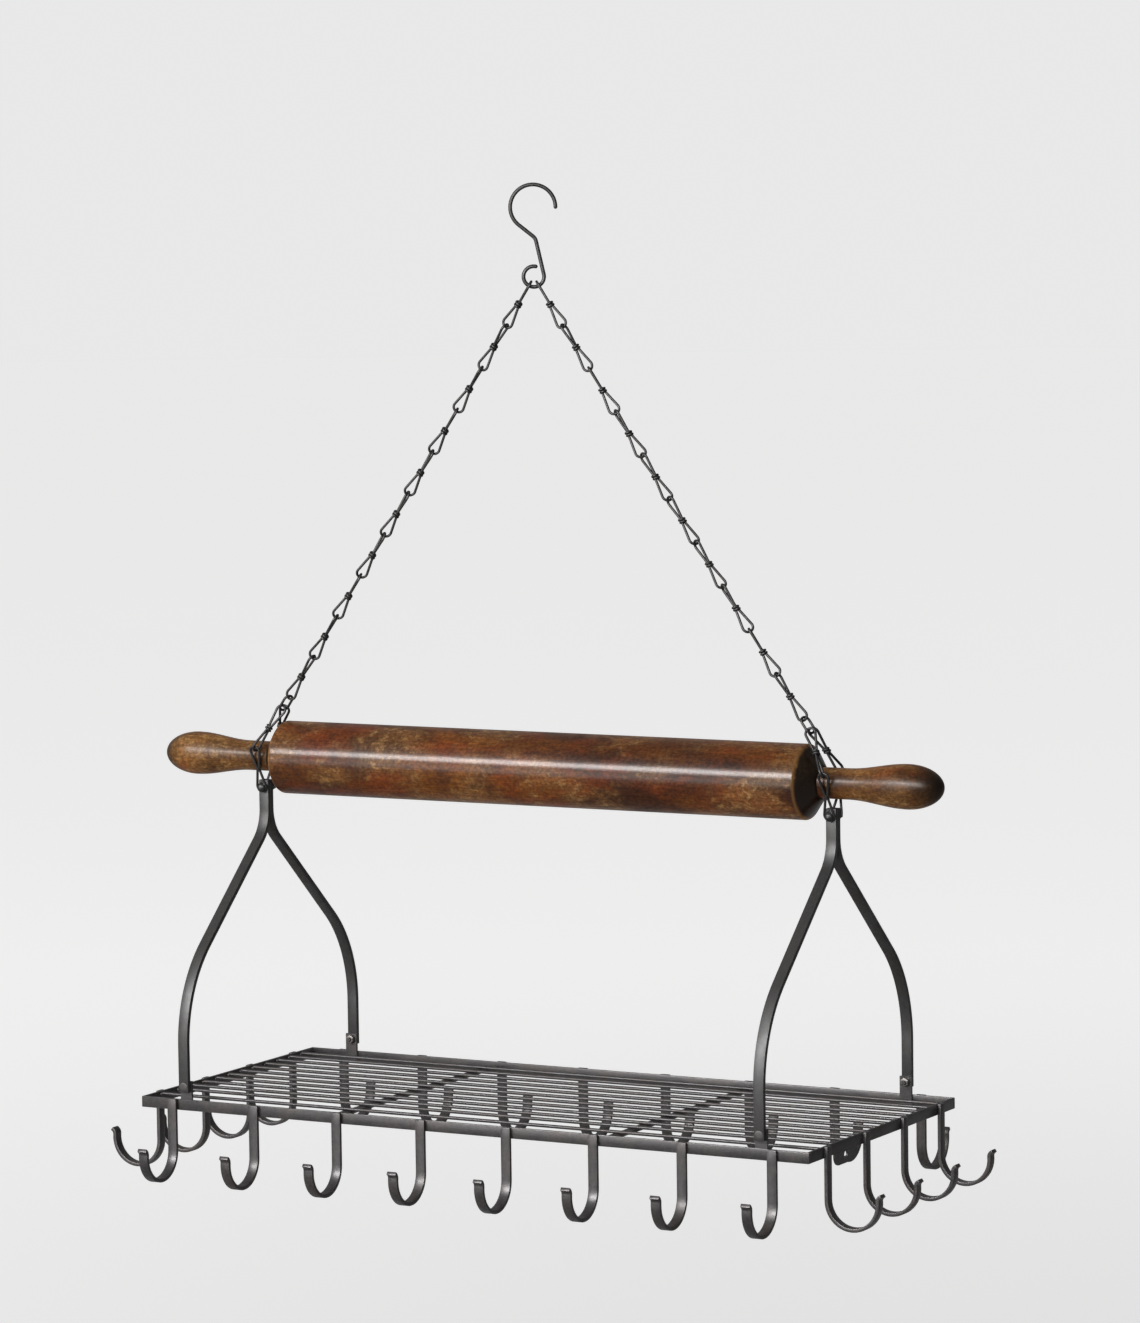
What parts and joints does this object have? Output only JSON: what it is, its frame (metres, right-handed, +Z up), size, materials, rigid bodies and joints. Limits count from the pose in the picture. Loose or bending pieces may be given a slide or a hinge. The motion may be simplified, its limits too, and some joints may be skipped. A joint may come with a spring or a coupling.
{
  "type": "hanging pot rack",
  "caption": "Wire-grid pot rack with pan hooks round its rails, on two wishbone brackets slung from a turned wooden rolling pin that hangs by knotted chains from one S-hook.",
  "frame": {"origin": "seat inside the top bend of the S-hook, where it rests on the ceiling hook", "axes": "+Z up, X along the rolling pin and the long rails (+X to the right of the picture), -Y towards the viewer"},
  "size_m": [0.955, 0.4858, 1.0748],
  "materials": {
    "rack_steel": "dark bronze-brown powder coat, satin, worn lighter on the edges",
    "chain_steel": "near-black oiled wire, satin",
    "bolt_steel": "dark zinc, round heads painted over",
    "pin_wood": "stained hardwood, mottled red and golden brown, glossy varnish",
    "handle_wood": "lighter stained hardwood, glossy varnish with darker ends"
  },
  "bodies": {
    "hanger": {"s_hook": "chain_steel"},
    "top_links": {"left_chain_link_01": "chain_steel", "right_chain_link_01": "chain_steel"},
    "chains": {"left_chain_link_02": "chain_steel", "left_chain_link_03": "chain_steel", "left_chain_link_04": "chain_steel", "left_chain_link_05": "chain_steel", "left_chain_link_06": "chain_steel", "left_chain_link_07": "chain_steel", "left_chain_link_08": "chain_steel", "left_chain_link_09": "chain_steel", "left_chain_link_10": "chain_steel", "right_chain_link_02": "chain_steel", "right_chain_link_03": "chain_steel", "right_chain_link_04": "chain_steel", "right_chain_link_05": "chain_steel", "right_chain_link_06": "chain_steel", "right_chain_link_07": "chain_steel", "right_chain_link_08": "chain_steel", "right_chain_link_09": "chain_steel", "right_chain_link_10": "chain_steel"},
    "rack": {"left_chain_ring": "chain_steel", "right_chain_ring": "chain_steel", "left_front_sling_upper_link": "chain_steel", "left_front_sling_lower_link": "chain_steel", "left_back_sling_upper_link": "chain_steel", "left_back_sling_lower_link": "chain_steel", "right_front_sling_upper_link": "chain_steel", "right_front_sling_lower_link": "chain_steel", "right_back_sling_upper_link": "chain_steel", "right_back_sling_lower_link": "chain_steel", "left_front_leg": "rack_steel", "left_back_leg": "rack_steel", "right_front_leg": "rack_steel", "right_back_leg": "rack_steel", "sling_bolts": "bolt_steel", "sling_nuts": "bolt_steel", "leg_tabs": "rack_steel", "foot_bolts": "bolt_steel", "foot_nuts": "bolt_steel", "front_rail": "rack_steel", "back_rail": "rack_steel", "left_rail": "rack_steel", "right_rail": "rack_steel", "rail_ear": "rack_steel", "grid_wires": "rack_steel", "cross_bars": "rack_steel", "front_hooks_left": "rack_steel", "front_hooks_right": "rack_steel", "back_hooks_left": "rack_steel", "back_hooks_right": "rack_steel", "left_hooks": "rack_steel", "right_hooks": "rack_steel"},
    "rolling_pin": {"pin_barrel": "pin_wood", "left_handle": "handle_wood", "right_handle": "handle_wood"}
  },
  "joints": [
    {"name": "hook_swing", "type": "hinge", "parent": "hanger", "child": "top_links", "pos_m": [0, 0, -0.0961], "axis": [0.4848, -0.8746, 0], "range_deg": [-12, 12]},
    {"name": "chain_swing", "type": "hinge", "parent": "top_links", "child": "chains", "pos_m": [0, 0, -0.14997], "axis": [1, 0, 0], "range_deg": [-20, 20]},
    {"name": "rack_swing", "type": "hinge", "parent": "chains", "child": "rack", "pos_m": [0, 0, -0.561], "axis": [1, 0, 0], "range_deg": [-15, 15]},
    {"name": "pin_roll", "type": "hinge", "parent": "rack", "child": "rolling_pin", "pos_m": [0, 0, -0.62633], "axis": [1, 0, 0], "continuous": true}
  ]
}
